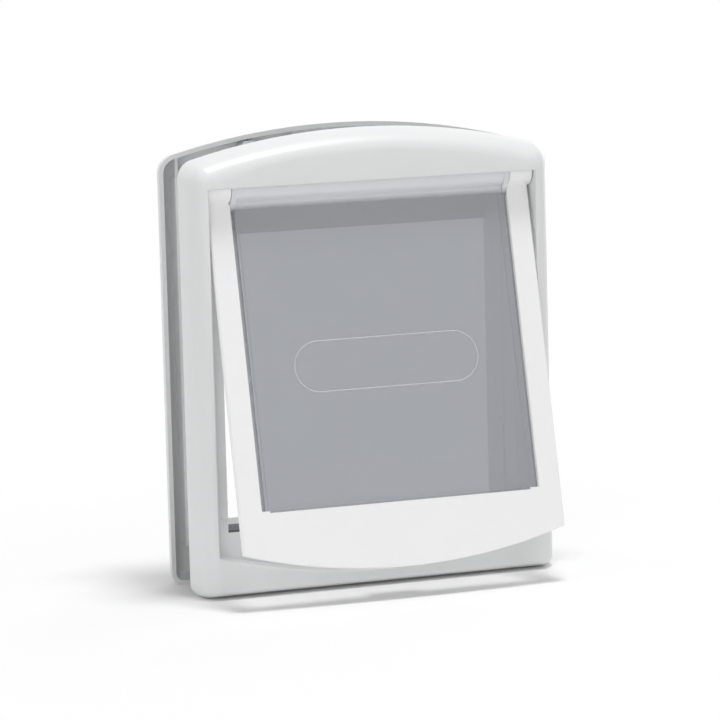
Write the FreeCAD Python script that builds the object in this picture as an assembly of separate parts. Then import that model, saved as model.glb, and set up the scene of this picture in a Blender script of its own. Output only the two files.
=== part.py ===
import FreeCAD, Part
import math
import os

from FreeCAD import Vector

# Overall size of each frame, seen from the front (millimetres)
WIDTH = 198.0
HEIGHT = 236.0
ARCH_RISE = 14.0
TOP_CORNER_R = 10.0
BOTTOM_CORNER_R = 6.5
FACE_TOP_CORNER_R = 4.0
FACE_BOTTOM_CORNER_R = 2.5
WALL = 2.3
ROLL = 11.0
ROLL_DEEP = 17.0
BOTTOM_ROLL = 5.0
REAR_ROLL_DEEP = 11.0
ROLL_STEPS = 6
INNER_ROLL_STEPS = 3

# Depths, measured from the front face towards the back of the door
FRONT_DEPTH = 19.0
DOOR_THICKNESS = 31.0
REAR_DEPTH = 13.0

# Opening in each face: straight sides, straight top, bowed lower edge
SIDE_BAR = 10.5
HEAD_BAND = 26.0
OPEN_HALF = WIDTH / 2 - SIDE_BAR
OPEN_TOP = HEIGHT - HEAD_BAND
OPEN_CORNER_Z = 22.2
OPEN_BOW = 13.0
OPEN_WALL = 2.0
EDGE_ROUND = 1.2
EDGE_STEPS = 4

# Passage behind the opening
REVEAL_STEP = 9.0
REAR_LINTEL_DROP = 29.0
SILL_Z = 32.5
PASS_HALF = OPEN_HALF - REVEAL_STEP
REAR_LINTEL_Z = OPEN_TOP - REAR_LINTEL_DROP
SLEEVE_WALL = 2.0
LEDGE_PLATE = 2.0
RING_SET_BACK = 0.2
SLEEVE_OVERHANG = 9.0
SLEEVE_JOINT_GAP = 0.8
BELL_OVERLAP = 5.0
BELL_FIT = 0.2

# Hinge
HINGE_Y = 11.5
HINGE_Z = OPEN_TOP
KNUCKLE_R = 8.5
DRUM_R = 8.1
DRUM_WALL = 1.8
EAR = 2.7
PIN_R = 2.0
PIN_RUN_FIT = 0.06
PIN_SEAT_FIT = 0.02
PIN_INNER_REACH = 4.0
PIN_OUTER_REACH = 3.2
LIP = 2.5
POCKET_CLEAR = 0.6
SIDE_CLEAR = 0.5
REST_ANGLE = 13.8

# Swinging surround
SURROUND_SIDE_GAP = 1.3
SURROUND_END_GAP = 1.7
SURROUND_T = 2.5
ARM_WIDE = 11.9
FOOT_HIGH = 20.1
APERTURE_CORNER_R = 1.2
SURROUND_EDGE_R = 0.7
LUG_LONG = 4.5
LUG_CLEAR = 0.3
LEDGE_GAP = 0.55

# Clear flap
FLAP_OVERLAP = 2.7
FLAP_FLANGE_T = 2.0
FLAP_FLANGE_GAP = 0.1
FLAP_SILL_GAP = 4.5
PAD_RING = 2.0
PAD_RECESS = 0.3
PAD_EDGE_R = 0.5
PAD_T = 2.2
GUSSET_DROP = 14.0
NUB_SHARE = 0.5874
NUB_SIZE = 3.0
BADGE_SHARE = 0.568
BADGE_LONG = 100.0
BADGE_HIGH = 26.5
BADGE_LINE = 0.6
BADGE_DEPTH = 0.25

# Sill seal
PILE_DEEP = 4.0
PILE_BASE = 1.0
PILE_GAP = 0.4

# Magnets
FLAP_MAGNET = (22.0, 2.6, 3.4)
FLAP_HOLDER = (27.0, 4.2, 4.4)
SILL_MAGNET = (22.0, 4.0, 2.2)
SILL_HOUSING = (27.0, 5.4, 3.6)
MAGNET_FIT = 0.1

# Fixing screws
TOP_SCREW_SHARE = 0.565
TOP_SCREW_DROP = 12.4
LOW_SCREW_INSET = 9.5
LOW_SCREW_Z = 10.0
SCREW_R = 1.75
SCREW_SEAT_FIT = 0.05
SCREW_PASS_FIT = 0.3
SCREW_HEAD_R = 3.3
SCREW_HEAD_T = 2.2
SCREW_SEAT_DEPTH = 6.5
SCREW_REACH = 9.0
BOSS_R = 3.6
REAR_BOSS_R = 5.4
CAP_T = 1.6
CAP_FIT = 0.05
CAP_HEAD_GAP = 0.1

# Guide ribs for a closing panel in the rear reveal, wall ribs, small stops
GUIDE_RIB = 1.8
GUIDE_SLOT = 4.0
GUIDE_START = 3.0
WALL_RIB = 1.6
SIDE_RIB_SHARES = (0.3, 0.51, 0.72)
NIB_Z = (40.0, 48.0, 66.0)
NIB_PROUD = 0.35
NIB_HIGH = 1.0
LATCH_PLATE = (10.5, 27.0, 0.6)
LATCH_PLATE_Z = 47.0
LATCH_SLOT = (4.0, 2.5)

# Values worked out from the ones above
TOTAL_DEPTH = FRONT_DEPTH + DOOR_THICKNESS + REAR_DEPTH
ARCH_RADIUS = ((WIDTH / 2) ** 2 + ARCH_RISE ** 2) / (2 * ARCH_RISE)
ARCH_CENTRE_Z = HEIGHT - ARCH_RADIUS
LEDGE_Y = HINGE_Y + SURROUND_T / 2 + LEDGE_GAP
FRONT_SLEEVE_END = FRONT_DEPTH + SLEEVE_OVERHANG
REAR_SLEEVE_START = FRONT_SLEEVE_END + SLEEVE_JOINT_GAP
REAR_RIM_Y = FRONT_DEPTH + DOOR_THICKNESS
SURROUND_HALF = OPEN_HALF - SURROUND_SIDE_GAP
SURROUND_CORNER_DROP = HINGE_Z - OPEN_CORNER_Z - SURROUND_END_GAP
SURROUND_MID_DROP = SURROUND_CORNER_DROP + OPEN_BOW
APERTURE_HALF = SURROUND_HALF - ARM_WIDE
APERTURE_DROP = SURROUND_CORNER_DROP - FOOT_HIGH
FLAP_BOTTOM_DROP = HINGE_Z - SILL_Z - FLAP_SILL_GAP
NUB_DROP = APERTURE_DROP * NUB_SHARE
BADGE_DROP = APERTURE_DROP * BADGE_SHARE
TOP_SCREW_X = OPEN_HALF * TOP_SCREW_SHARE
TOP_SCREW_Z = HEIGHT - TOP_SCREW_DROP
LOW_SCREW_X = OPEN_HALF - LOW_SCREW_INSET
SIDE_RIB_Z = [HEIGHT * share for share in SIDE_RIB_SHARES]
FLAP_HALF = APERTURE_HALF + FLAP_OVERLAP
PAD_HALF = APERTURE_HALF - PAD_RING
PAD_DROP = APERTURE_DROP - PAD_RING + SURROUND_EDGE_R
LUG_HIGH = APERTURE_DROP - PAD_DROP - LUG_CLEAR
FLANGE_FRONT = HINGE_Y + SURROUND_T / 2 + FLAP_FLANGE_GAP
FLANGE_BACK = FLANGE_FRONT + FLAP_FLANGE_T
PAD_FRONT = HINGE_Y - SURROUND_T / 2 + PAD_RECESS
KNUCKLE_INNER_X = APERTURE_HALF + SIDE_CLEAR
KNUCKLE_OUTER_X = OPEN_HALF - SIDE_CLEAR
HEAD_BACK_Y = HINGE_Y + KNUCKLE_R + POCKET_CLEAR
HEAD_FLOOR_Z = HINGE_Z - KNUCKLE_R - POCKET_CLEAR
PILE_TOP_Z = HINGE_Z - FLAP_BOTTOM_DROP - PILE_GAP
LOWEST_FRONT_Y = (HINGE_Y - SURROUND_MID_DROP * math.sin(math.radians(REST_ANGLE))
                  - SURROUND_T / 2 * math.cos(math.radians(REST_ANGLE)))
Y_SHIFT = -(LOWEST_FRONT_Y + TOTAL_DEPTH) / 2


def box(x0, x1, y0, y1, z0, z1):
    """Box between two corners."""
    return Part.makeBox(x1 - x0, y1 - y0, z1 - z0, Vector(x0, y0, z0))


def rod_y(x, z, y0, y1, radius):
    """Round bar along Y."""
    return Part.makeCylinder(radius, y1 - y0, Vector(x, y0, z), Vector(0, 1, 0))


def octagon_y(x, z, y0, y1, half):
    """Eight-sided bar along Y; half is from its middle to a flat."""
    reach = half / math.cos(math.pi / 8)
    corners = []
    for step in range(9):
        angle = math.pi / 8 + step * math.pi / 4
        corners.append(Vector(x + reach * math.cos(angle), y0, z + reach * math.sin(angle)))
    return Part.Face(Part.makePolygon(corners)).extrude(Vector(0, y1 - y0, 0))


def rod_x(x0, x1, y, z, radius):
    """Round bar along X."""
    return Part.makeCylinder(radius, x1 - x0, Vector(x0, y, z), Vector(1, 0, 0))


def line(a, b, y):
    """Straight edge between two (x, z) points at depth y."""
    return Part.LineSegment(Vector(a[0], y, a[1]), Vector(b[0], y, b[1])).toShape()


def arc(a, mid, b, y):
    """Arc through three (x, z) points at depth y."""
    points = [Vector(p[0], y, p[1]) for p in (a, mid, b)]
    return Part.Arc(*points).toShape()


def arched_outline(side_inset, bottom_inset, top_r, bottom_r, y):
    """Closed wire of the arched frame outline, drawn in from the full size."""
    half = WIDTH / 2 - side_inset
    low = bottom_inset
    radius = ARCH_RADIUS - side_inset
    cx = half - top_r
    reach = radius - top_r
    cz = ARCH_CENTRE_Z + math.sqrt(reach ** 2 - cx ** 2)
    tx = cx * radius / reach
    tz = ARCH_CENTRE_Z + (cz - ARCH_CENTRE_Z) * radius / reach
    turn = math.atan2(cz - ARCH_CENTRE_Z, cx) / 2
    mx = cx + top_r * math.cos(turn)
    mz = cz + top_r * math.sin(turn)
    bx = half - bottom_r
    bz = low + bottom_r
    diagonal = bottom_r * math.sqrt(0.5)
    edges = [
        line((-bx, low), (bx, low), y),
        arc((bx, low), (bx + diagonal, bz - diagonal), (half, bz), y),
        line((half, bz), (half, cz), y),
        arc((half, cz), (mx, mz), (tx, tz), y),
        arc((tx, tz), (0, ARCH_CENTRE_Z + radius), (-tx, tz), y),
        arc((-tx, tz), (-mx, mz), (-half, cz), y),
        line((-half, cz), (-half, bz), y),
        arc((-half, bz), (-bx - diagonal, bz - diagonal), (-bx, low), y),
    ]
    return Part.Wire(edges)


def rolled_body(offset, depth, deep):
    """Solid with the arched outline and a rolled front edge, drawn in by offset."""
    steps = INNER_ROLL_STEPS if offset else ROLL_STEPS
    roll = ROLL - offset
    bottom_roll = BOTTOM_ROLL - offset
    reach = deep - offset
    sections = []
    for step in range(steps + 1):
        angle = math.radians(90.0 * step / steps)
        share = 1 - math.cos(angle)
        top_r = (TOP_CORNER_R - offset) * (1 - share) + FACE_TOP_CORNER_R * share
        bottom_r = (BOTTOM_CORNER_R - offset) * (1 - share) + FACE_BOTTOM_CORNER_R * share
        y = deep - reach * math.sin(angle)
        side = offset + roll * share
        bottom = offset + bottom_roll * share
        sections.append(arched_outline(side, bottom, top_r, bottom_r, y))
    rolled = Part.makeLoft(sections, True, True)
    band_wire = arched_outline(offset, offset, TOP_CORNER_R - offset, BOTTOM_CORNER_R - offset, deep)
    band = Part.Face(band_wire).extrude(Vector(0, depth - deep, 0))
    return rolled.fuse(band)


def opening_prism(half, corner_z, bow, top_z, y0, y1):
    """Prism of the opening: straight sides and top, lower edge bowed downwards."""
    wire = Part.Wire([
        line((-half, top_z), (-half, corner_z), y0),
        arc((-half, corner_z), (0, corner_z - bow), (half, corner_z), y0),
        line((half, corner_z), (half, top_z), y0),
        line((half, top_z), (-half, top_z), y0),
    ])
    return Part.Face(wire).extrude(Vector(0, y1 - y0, 0))


def opening_wire(grow, y):
    """Outline of the face opening, grown outwards on its sides and ends."""
    half = OPEN_HALF + grow
    corner = OPEN_CORNER_Z - grow
    top = OPEN_TOP + grow
    return Part.Wire([
        line((-half, top), (-half, corner), y),
        arc((-half, corner), (0, corner - OPEN_BOW), (half, corner), y),
        line((half, corner), (half, top), y),
        line((half, top), (-half, top), y),
    ])


def edge_round_cut():
    """Cutter that rounds the sharp edge of the face opening."""
    wires = [opening_wire(EDGE_ROUND * 1.5, -1.0)]
    for step in range(EDGE_STEPS + 1):
        angle = math.radians(90.0 * step / EDGE_STEPS)
        wires.append(opening_wire(EDGE_ROUND * (1 - math.sin(angle)), EDGE_ROUND * (1 - math.cos(angle))))
    return Part.makeLoft(wires, True, True)


def screw_places():
    """Name, x and z of each fixing screw."""
    return [
        ("top_left", -TOP_SCREW_X, TOP_SCREW_Z),
        ("top_right", TOP_SCREW_X, TOP_SCREW_Z),
        ("bottom_left", -LOW_SCREW_X, LOW_SCREW_Z),
        ("bottom_right", LOW_SCREW_X, LOW_SCREW_Z),
    ]


def frame_shell(depth, deep):
    """Hollow fascia moulding, open at the side that meets the door."""
    return rolled_body(0.0, depth, deep).cut(rolled_body(WALL, depth + 1.0, deep))


def wall_ribs(depth):
    """Ribs that tie the outer wall of a fascia to the wall round its opening."""
    ribs = []
    for side in (-1, 1):
        for z in SIDE_RIB_Z:
            x0, x1 = sorted((side * (OPEN_HALF + OPEN_WALL / 2), side * WIDTH / 2))
            ribs.append(box(x0, x1, 0.0, depth - WALL, z - WALL_RIB / 2, z + WALL_RIB / 2))
    return ribs


def head_ribs(low_z, depth):
    """Upright ribs between the head of the opening and the arched wall."""
    outer_x = OPEN_HALF + OPEN_WALL - WALL_RIB
    ribs = []
    for x in (-outer_x, -TOP_SCREW_X / 2, TOP_SCREW_X / 2, outer_x):
        ribs.append(box(x - WALL_RIB / 2, x + WALL_RIB / 2, 0.0, depth - WALL, low_z, HEIGHT))
    return ribs


def stiffeners(low_z, boss_r, depth):
    """Head ribs and screw bosses of a fascia, before they are trimmed to its inside."""
    bosses = [octagon_y(x, z, 0.0, depth, boss_r) for _name, x, z in screw_places()]
    return head_ribs(low_z, depth) + bosses


def make_front_frame():
    """Front fascia with its ledge, hinge pocket, short sleeve and screw bosses."""
    sleeve_half = PASS_HALF + SLEEVE_WALL
    box_half = OPEN_HALF + OPEN_WALL
    roof_z = OPEN_TOP + OPEN_WALL
    pocket_r = KNUCKLE_R + POCKET_CLEAR
    solids = [
        opening_prism(box_half, OPEN_CORNER_Z - OPEN_WALL, OPEN_BOW, roof_z, 0.0, LEDGE_Y + LEDGE_PLATE),
        box(-box_half, box_half, 0.0, HEAD_BACK_Y + SLEEVE_WALL, HEAD_FLOOR_Z - SLEEVE_WALL, HINGE_Z),
        rod_x(-box_half, box_half, HINGE_Y, HINGE_Z, pocket_r + SLEEVE_WALL),
        box(-sleeve_half, sleeve_half, LEDGE_Y, FRONT_SLEEVE_END, SILL_Z - SLEEVE_WALL, roof_z),
    ]
    solids += wall_ribs(FRONT_DEPTH) + stiffeners(OPEN_TOP + OPEN_WALL / 2, BOSS_R, FRONT_DEPTH)
    for side in (-1, 1):
        x0, x1 = sorted((side * (box_half - 0.5), side * (OPEN_HALF + PIN_OUTER_REACH + WALL)))
        solids.append(box(x0, x1, HINGE_Y - BOSS_R, HINGE_Y + BOSS_R, HINGE_Z - BOSS_R, HINGE_Z + BOSS_R))
    inside = rolled_body(WALL / 2, FRONT_SLEEVE_END, ROLL_DEEP)
    frame = frame_shell(FRONT_DEPTH, ROLL_DEEP).multiFuse([solid.common(inside) for solid in solids])
    cuts = [
        opening_prism(OPEN_HALF, OPEN_CORNER_Z, OPEN_BOW, OPEN_TOP, -1.0, LEDGE_Y),
        edge_round_cut(),
        box(-OPEN_HALF, OPEN_HALF, LIP, HEAD_BACK_Y, HEAD_FLOOR_Z, HINGE_Z),
        rod_x(-OPEN_HALF, OPEN_HALF, HINGE_Y, HINGE_Z, pocket_r),
        box(-PASS_HALF, PASS_HALF, LIP, FRONT_SLEEVE_END + 1.0, SILL_Z, OPEN_TOP),
    ]
    for _name, x, z in screw_places():
        cuts.append(rod_y(x, z, SCREW_REACH - 1.0, FRONT_DEPTH + 1.0, SCREW_R + SCREW_SEAT_FIT))
    for side in (-1, 1):
        x0, x1 = sorted((side * (OPEN_HALF - 1.0), side * (OPEN_HALF + PIN_OUTER_REACH)))
        cuts.append(rod_x(x0, x1, HINGE_Y, HINGE_Z, PIN_R + PIN_SEAT_FIT))
    frame = frame.cut(Part.makeCompound(cuts))
    nibs = []
    for side in (-1, 1):
        for z in NIB_Z:
            x0, x1 = sorted((side * PASS_HALF, side * (OPEN_HALF + 0.5)))
            nibs.append(box(x0, x1, LEDGE_Y - NIB_PROUD, LEDGE_Y + 0.5, z - NIB_HIGH / 2, z + NIB_HIGH / 2))
    return frame.multiFuse(nibs).removeSplitter()


def from_rear(shape):
    """Turn a shape drawn from its own face into its place at the back of the door."""
    turned = shape.mirror(Vector(0, 0, 0), Vector(0, 1, 0))
    turned.translate(Vector(0, TOTAL_DEPTH, 0))
    return turned


def make_rear_frame():
    """Rear fascia with its reveal, panel guides, sleeve and screw bosses, drawn from its own face."""
    sleeve_half = PASS_HALF + SLEEVE_WALL
    box_half = OPEN_HALF + OPEN_WALL
    roof_z = OPEN_TOP + SLEEVE_WALL
    ring_y = REAR_DEPTH - LEDGE_PLATE - RING_SET_BACK
    sleeve_end = TOTAL_DEPTH - REAR_SLEEVE_START
    seat_y = SCREW_SEAT_DEPTH
    bell_in = SLEEVE_WALL + BELL_FIT
    bell_out = bell_in + SLEEVE_WALL
    bell_end = sleeve_end + SLEEVE_JOINT_GAP + BELL_OVERLAP
    solids = [
        box(-PASS_HALF - bell_out, PASS_HALF + bell_out, sleeve_end - SLEEVE_WALL, bell_end,
            SILL_Z - bell_out, OPEN_TOP + bell_out),
        opening_prism(box_half, OPEN_CORNER_Z - OPEN_WALL, OPEN_BOW, OPEN_TOP + OPEN_WALL, 0.0,
                      ring_y + LEDGE_PLATE),
        box(-sleeve_half, sleeve_half, ring_y, sleeve_end, SILL_Z - SLEEVE_WALL, roof_z),
    ]
    solids += stiffeners(OPEN_TOP + OPEN_WALL / 2, REAR_BOSS_R, REAR_DEPTH)
    inside = rolled_body(WALL / 2, bell_end, REAR_ROLL_DEEP)
    frame = frame_shell(REAR_DEPTH, REAR_ROLL_DEEP).multiFuse([solid.common(inside) for solid in solids])
    cuts = [
        opening_prism(OPEN_HALF, OPEN_CORNER_Z, OPEN_BOW, OPEN_TOP, -1.0, ring_y),
        edge_round_cut(),
        box(-PASS_HALF, PASS_HALF, ring_y - 1.0, sleeve_end + 1.0, SILL_Z, REAR_LINTEL_Z),
        box(-PASS_HALF, PASS_HALF, ring_y + LEDGE_PLATE, sleeve_end + 1.0, SILL_Z, OPEN_TOP),
        box(-PASS_HALF - bell_in, PASS_HALF + bell_in, sleeve_end, bell_end + 1.0,
            SILL_Z - bell_in, OPEN_TOP + bell_in),
    ]
    for _name, x, z in screw_places():
        cuts.append(rod_y(x, z, -1.0, seat_y, SCREW_HEAD_R + SCREW_PASS_FIT))
        cuts.append(rod_y(x, z, seat_y - 1.0, REAR_DEPTH + 1.0, SCREW_R + SCREW_PASS_FIT))
    plate_len, plate_high, plate_t = LATCH_PLATE
    slot_len, slot_high = LATCH_SLOT
    slot_y = sleeve_end - plate_len / 2
    slot_z = LATCH_PLATE_Z + plate_high + slot_high
    for side in (-1, 1):
        x0, x1 = sorted((side * (PASS_HALF - 1.0), side * (sleeve_half + 1.0)))
        cuts.append(box(x0, x1, slot_y - slot_len / 2, slot_y + slot_len / 2, slot_z - slot_high / 2,
                        slot_z + slot_high / 2))
    frame = frame.cut(Part.makeCompound(cuts))
    extras = []
    for side in (-1, 1):
        x0, x1 = sorted((side * (PASS_HALF - plate_t), side * (PASS_HALF + SLEEVE_WALL / 2)))
        extras.append(box(x0, x1, sleeve_end - plate_len, sleeve_end,
                          LATCH_PLATE_Z, LATCH_PLATE_Z + plate_high))
        x0, x1 = sorted((side * (OPEN_HALF - GUIDE_RIB), side * (OPEN_HALF + OPEN_WALL / 2)))
        for y in (GUIDE_START, GUIDE_START + GUIDE_RIB + GUIDE_SLOT):
            extras.append(box(x0, x1, y, y + GUIDE_RIB, SILL_Z, OPEN_TOP - GUIDE_SLOT))
    return from_rear(frame.multiFuse(extras).removeSplitter())


def make_surround():
    """White surround, drawn hanging straight down: two arms, bowed foot and two knuckles."""
    front_y = HINGE_Y - SURROUND_T / 2
    back_y = HINGE_Y + SURROUND_T / 2
    plate = opening_prism(SURROUND_HALF, HINGE_Z - SURROUND_CORNER_DROP, OPEN_BOW, HINGE_Z, front_y, back_y)
    rim_edges = [edge for edge in plate.Edges
                 if abs(edge.BoundBox.YMin - front_y) < 1e-6 and edge.BoundBox.YLength < 1e-6
                 and edge.CenterOfMass.z < HINGE_Z - 1.0]
    plate = plate.makeChamfer(SURROUND_EDGE_R, rim_edges)
    window = box(-APERTURE_HALF, APERTURE_HALF, front_y - 1.0, back_y + 1.0,
                 HINGE_Z - APERTURE_DROP, HINGE_Z + 1.0)
    low_edges = [edge for edge in window.Edges
                 if edge.BoundBox.YLength > 1.0 and edge.CenterOfMass.z < HINGE_Z - APERTURE_DROP + 1.0]
    plate = plate.cut(window.makeFillet(APERTURE_CORNER_R, low_edges))
    solids = []
    cuts = []
    for side in (-1, 1):
        x0, x1 = sorted((side * KNUCKLE_INNER_X, side * KNUCKLE_OUTER_X))
        solids.append(rod_x(x0, x1, HINGE_Y, HINGE_Z, KNUCKLE_R))
        cuts.append(rod_x(x0 - 1.0, x1 + 1.0, HINGE_Y, HINGE_Z, PIN_R + PIN_RUN_FIT))
        inner0, inner1 = sorted((side * (APERTURE_HALF - 1.0), side * KNUCKLE_INNER_X))
        cuts.append(box(inner0, inner1, 0.0, 2 * HINGE_Y,
                        HINGE_Z - KNUCKLE_R - POCKET_CLEAR, HINGE_Z + KNUCKLE_R))
        x0, x1 = sorted((side * (APERTURE_HALF - LUG_LONG), side * (APERTURE_HALF + 0.5)))
        low = HINGE_Z - APERTURE_DROP
        solids.append(box(x0, x1, HINGE_Y - SURROUND_T / 4, back_y, low - 0.5, low + LUG_HIGH))
    return plate.multiFuse(solids).cut(Part.makeCompound(cuts)).removeSplitter()


def make_flap():
    """Clear flap, drawn hanging straight down: drum, raised pad, thin flange and nubs."""
    low = HINGE_Z - FLAP_BOTTOM_DROP
    pad_low = HINGE_Z - PAD_DROP
    top_z = HINGE_Z - KNUCKLE_R - POCKET_CLEAR
    flange = box(-FLAP_HALF, FLAP_HALF, FLANGE_FRONT, FLANGE_BACK, low, top_z)
    pad = box(-PAD_HALF, PAD_HALF, PAD_FRONT, FLANGE_BACK, pad_low, HINGE_Z - DRUM_R / 2)
    rim = [edge for edge in pad.Edges
           if edge.BoundBox.YLength < 1e-6 and abs(edge.BoundBox.YMin - PAD_FRONT) < 1e-6
           and edge.CenterOfMass.z < HINGE_Z - DRUM_R]
    pad = pad.makeFillet(PAD_EDGE_R, rim)
    solids = [pad]
    for side in (-1, 1):
        x0, x1 = sorted((side * (PAD_HALF - 0.5), side * (APERTURE_HALF - SIDE_CLEAR)))
        nub_z = HINGE_Z - NUB_DROP
        solids.append(box(x0, x1, HINGE_Y, FLANGE_BACK, nub_z - NUB_SIZE / 2, nub_z + NUB_SIZE / 2))
    flap = flange.multiFuse(solids)
    tray = box(-PAD_HALF + PAD_T, PAD_HALF - PAD_T, PAD_FRONT + PAD_T, FLANGE_BACK + 1.0,
               pad_low + PAD_T, HINGE_Z)
    flap = flap.cut(tray).fuse(rod_x(-APERTURE_HALF, APERTURE_HALF, HINGE_Y, HINGE_Z, DRUM_R))
    ears = []
    for side in (-1, 1):
        x0, x1 = sorted((side * (APERTURE_HALF - EAR), side * APERTURE_HALF))
        ears += [rod_x(x0, x1, HINGE_Y, HINGE_Z, KNUCKLE_R), gusset(x0, x1)]
    flap = flap.multiFuse(ears)
    hollow_half = APERTURE_HALF - EAR
    hollow = rod_x(-hollow_half, hollow_half, HINGE_Y, HINGE_Z, DRUM_R - DRUM_WALL)
    collars = []
    for side in (-1, 1):
        x0, x1 = sorted((side * hollow_half, side * (hollow_half - PIN_INNER_REACH)))
        collars.append(rod_x(x0, x1, HINGE_Y, HINGE_Z, PIN_R * 2))
    hollow = hollow.cut(Part.makeCompound(collars))
    cuts = [hollow]
    for side in (-1, 1):
        x0, x1 = sorted((side * (APERTURE_HALF + 1.0), side * (hollow_half - PIN_INNER_REACH)))
        cuts.append(rod_x(x0, x1, HINGE_Y, HINGE_Z, PIN_R + PIN_RUN_FIT))
    cuts.append(badge_groove())
    return flap.cut(Part.makeCompound(cuts)).removeSplitter()


def gusset(x0, x1):
    """Side web of the flap, from the round of its ear down to the flange."""
    foot_y = FLANGE_FRONT - HINGE_Y
    lean = math.atan2(foot_y, GUSSET_DROP)
    turn = math.acos(KNUCKLE_R / math.hypot(foot_y, GUSSET_DROP)) - lean
    points = [(0.0, 0.0), (-KNUCKLE_R * math.sin(turn), -KNUCKLE_R * math.cos(turn)), (foot_y, -GUSSET_DROP),
              (foot_y + FLAP_FLANGE_T / 2, -GUSSET_DROP), (foot_y + FLAP_FLANGE_T / 2, 0.0), (0.0, 0.0)]
    wire = Part.makePolygon([Vector(x0, HINGE_Y + y, HINGE_Z + z) for y, z in points])
    return Part.Face(wire).extrude(Vector(x1 - x0, 0, 0))


def stadium(long, high, y0, y1):
    """Flat round-ended bar centred on the badge place."""
    z = HINGE_Z - BADGE_DROP
    half = long / 2 - high / 2
    body = box(-half, half, y0, y1, z - high / 2, z + high / 2)
    return body.multiFuse([rod_y(-half, z, y0, y1, high / 2), rod_y(half, z, y0, y1, high / 2)])


def badge_groove():
    """Shallow outline groove on the pad, with its inside left bare."""
    y0 = PAD_FRONT - 1.0
    y1 = PAD_FRONT + BADGE_DEPTH
    outer = stadium(BADGE_LONG, BADGE_HIGH, y0, y1)
    return outer.cut(stadium(BADGE_LONG - 2 * BADGE_LINE, BADGE_HIGH - 2 * BADGE_LINE, y0, y1))


def make_hinge_pin(side):
    """Stub pin from the side wall of the frame through a knuckle into the flap drum."""
    inner = APERTURE_HALF - EAR - PIN_INNER_REACH + 0.5
    outer = OPEN_HALF + PIN_OUTER_REACH - 0.2
    x0, x1 = sorted((side * inner, side * outer))
    return rod_x(x0, x1, HINGE_Y, HINGE_Z, PIN_R)


def make_pile_base():
    """Backing strip of the sill seal."""
    return box(-PASS_HALF + 0.1, PASS_HALF - 0.1, LEDGE_Y, LEDGE_Y + PILE_DEEP, SILL_Z, SILL_Z + PILE_BASE)


def make_pile():
    """Pile of the sill seal, as one plain bar."""
    inset = PILE_DEEP / 10
    return box(-PASS_HALF + 0.1, PASS_HALF - 0.1, LEDGE_Y + inset, LEDGE_Y + PILE_DEEP - inset,
               SILL_Z + PILE_BASE, PILE_TOP_Z)


def pocket_block(size, y0, z0):
    """Plain block of size (x, y, z) centred on x with its near lower edge at y0, z0."""
    return box(-size[0] / 2, size[0] / 2, y0, y0 + size[1], z0, z0 + size[2])


def make_flap_magnet_parts():
    """Holder behind the foot of the flap and the magnet inside it."""
    holder_z = HINGE_Z - FLAP_BOTTOM_DROP + 0.6
    holder = pocket_block(FLAP_HOLDER, FLANGE_BACK, holder_z)
    magnet_z = holder_z + (FLAP_HOLDER[2] - FLAP_MAGNET[2]) / 2
    magnet = pocket_block(FLAP_MAGNET, FLANGE_BACK + MAGNET_FIT, magnet_z)
    room = (FLAP_MAGNET[0] + 2 * MAGNET_FIT, FLAP_MAGNET[1] + 2 * MAGNET_FIT, FLAP_MAGNET[2] + 2 * MAGNET_FIT)
    return holder.cut(pocket_block(room, FLANGE_BACK, magnet_z - MAGNET_FIT)), magnet


def make_sill_magnet_parts():
    """Housing on the sill behind the pile and the magnet inside it."""
    y0 = LEDGE_Y + PILE_DEEP + 0.3
    housing = pocket_block(SILL_HOUSING, y0, SILL_Z)
    edges = [edge for edge in housing.Edges if edge.BoundBox.ZLength > 1.0]
    housing = housing.makeFillet(1.0, edges)
    magnet_y = y0 + (SILL_HOUSING[1] - SILL_MAGNET[1]) / 2
    magnet = pocket_block(SILL_MAGNET, magnet_y, SILL_Z + MAGNET_FIT)
    room = (SILL_MAGNET[0] + 2 * MAGNET_FIT, SILL_MAGNET[1] + 2 * MAGNET_FIT, SILL_MAGNET[2] + 2 * MAGNET_FIT)
    return housing.cut(pocket_block(room, magnet_y - MAGNET_FIT, SILL_Z)), magnet


def make_screw(x, z):
    """Long fixing screw: flat cross-slot head at the back, end in the front boss."""
    seat = TOTAL_DEPTH - SCREW_SEAT_DEPTH
    head = rod_y(x, z, seat, seat + SCREW_HEAD_T, SCREW_HEAD_R)
    shank = rod_y(x, z, SCREW_REACH, seat + 0.1, SCREW_R)
    slot_y = seat + SCREW_HEAD_T / 2
    cross = [box(x - 1.9, x + 1.9, slot_y, seat + SCREW_HEAD_T + 1.0, z - 0.45, z + 0.45),
             box(x - 0.45, x + 0.45, slot_y, seat + SCREW_HEAD_T + 1.0, z - 1.9, z + 1.9)]
    return head.fuse(shank).cut(Part.makeCompound(cross)).removeSplitter()


def make_screw_cap(x, z):
    """Push-in cap over a screw head."""
    y0 = TOTAL_DEPTH - SCREW_SEAT_DEPTH + SCREW_HEAD_T + CAP_HEAD_GAP
    radius = SCREW_HEAD_R + SCREW_PASS_FIT - CAP_FIT
    return rod_y(x, z, y0, y0 + CAP_T, radius)


def tilt(shape):
    """Swing a piece of the flap out to the angle at which it is stored."""
    turned = shape.copy()
    turned.rotate(Vector(0, HINGE_Y, HINGE_Z), Vector(1, 0, 0), -REST_ANGLE)
    return turned


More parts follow.
